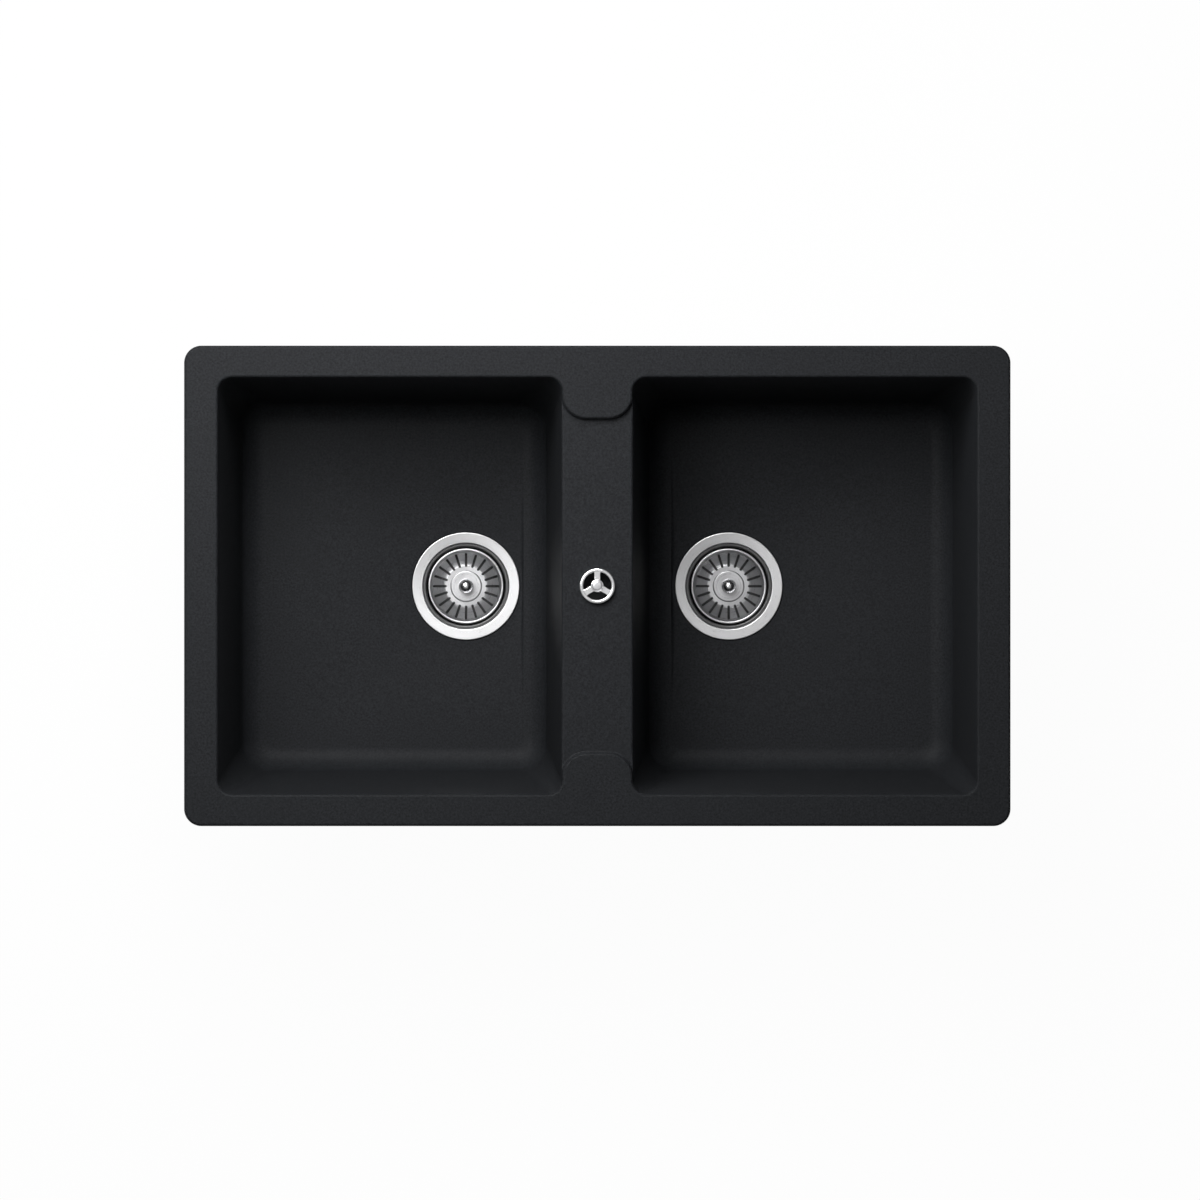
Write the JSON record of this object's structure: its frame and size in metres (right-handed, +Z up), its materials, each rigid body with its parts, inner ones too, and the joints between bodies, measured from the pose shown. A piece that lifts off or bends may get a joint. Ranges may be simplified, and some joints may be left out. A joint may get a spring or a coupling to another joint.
{
  "type": "inset kitchen sink",
  "caption": "Inset kitchen sink with two equal bowls, a lowered bridge with a rotary overflow control, and basket strainer wastes.",
  "frame": {"origin": "middle of the sink on the plane of the worktop, where the underside of the rim rests", "axes": "+X to the right, +Y to the back, +Z up out of the worktop"},
  "size_m": [0.86, 0.5, 0.298],
  "materials": {
    "granite": "matte, fine grain",
    "brushed_steel": "circular brushed",
    "basket_steel": "satin",
    "polished_chrome": "polished",
    "satin_chrome": "satin",
    "zinc_steel": "zinc plated",
    "brass": "turned",
    "seal_rubber": "matte",
    "dark_plastic": "matte",
    "collar_plastic": "matte",
    "grey_plastic": "satin",
    "pale_plastic": "satin",
    "cable_sheath": "satin"
  },
  "bodies": {
    "sink": {"sink_moulding": "granite", "rim_seal_strip": "seal_rubber", "clamp_inserts": "brass", "clamp_brackets": "zinc_steel", "clamp_screws": "zinc_steel", "left_flange_seal": "seal_rubber", "left_strainer_cup": "brushed_steel", "left_body_seal": "seal_rubber", "left_waste_body": "dark_plastic", "left_hub_nut": "brass", "left_centre_bolt": "zinc_steel", "right_flange_seal": "seal_rubber", "right_strainer_cup": "brushed_steel", "right_body_seal": "seal_rubber", "right_waste_body": "dark_plastic", "right_hub_nut": "brass", "right_centre_bolt": "zinc_steel", "shaft_o_ring": "seal_rubber", "actuator_box": "dark_plastic", "actuator_cover": "dark_plastic", "actuator_screws": "zinc_steel", "overflow_collar": "collar_plastic", "collar_seal": "seal_rubber", "overflow_housing": "dark_plastic", "housing_seal": "seal_rubber", "spindle_o_ring": "seal_rubber", "drum_box": "dark_plastic", "drum_box_screws": "zinc_steel", "control_cable": "cable_sheath", "cable_ferrules": "zinc_steel", "cable_nuts": "zinc_steel", "overflow_hose": "grey_plastic", "hose_nuts": "dark_plastic", "hose_washers": "seal_rubber"},
    "knob": {"control_knob": "polished_chrome", "knob_screw": "zinc_steel", "knob_cap": "satin_chrome", "control_spindle": "zinc_steel", "cable_drum": "pale_plastic", "drum_clip": "zinc_steel"},
    "lift_shaft": {"lift_shaft": "zinc_steel", "shaft_pulley": "pale_plastic", "pulley_screw": "zinc_steel"},
    "lift_pin": {"lift_pin": "zinc_steel"},
    "right_basket": {"right_strainer_basket": "basket_steel", "right_basket_seal": "seal_rubber", "right_basket_stem": "zinc_steel", "right_basket_knob": "polished_chrome"},
    "left_basket": {"left_strainer_basket": "basket_steel", "left_basket_seal": "seal_rubber", "left_basket_stem": "zinc_steel", "left_basket_knob": "polished_chrome"}
  },
  "joints": [
    {"name": "knob_turn", "type": "hinge", "parent": "sink", "child": "knob", "pos_m": [0, 0, 0.003], "axis": [0, 0, -1], "range_deg": [0, 90]},
    {"name": "lift_shaft_turn", "type": "hinge", "parent": "sink", "child": "lift_shaft", "pos_m": [0.09, -0.0075, -0.2478], "axis": [1, 0, 0], "range_deg": [0, 60]},
    {"name": "lift_pin_slide", "type": "slide", "parent": "sink", "child": "lift_pin", "axis": [0, 0, 1], "range_m": [0, 0.008]},
    {"name": "right_basket_lift_out", "type": "slide", "parent": "lift_pin", "child": "right_basket", "axis": [0, 0, 1], "range_m": [0, 0.045]},
    {"name": "left_basket_lift_out", "type": "slide", "parent": "sink", "child": "left_basket", "axis": [0, 0, 1], "range_m": [0, 0.045]}
  ],
  "couplings": [
    {"joint": "lift_shaft_turn", "follows": "knob_turn", "ratio": 0.66667},
    {"joint": "lift_pin_slide", "follows": "knob_turn", "m_per_rad": 0.005092}
  ]
}
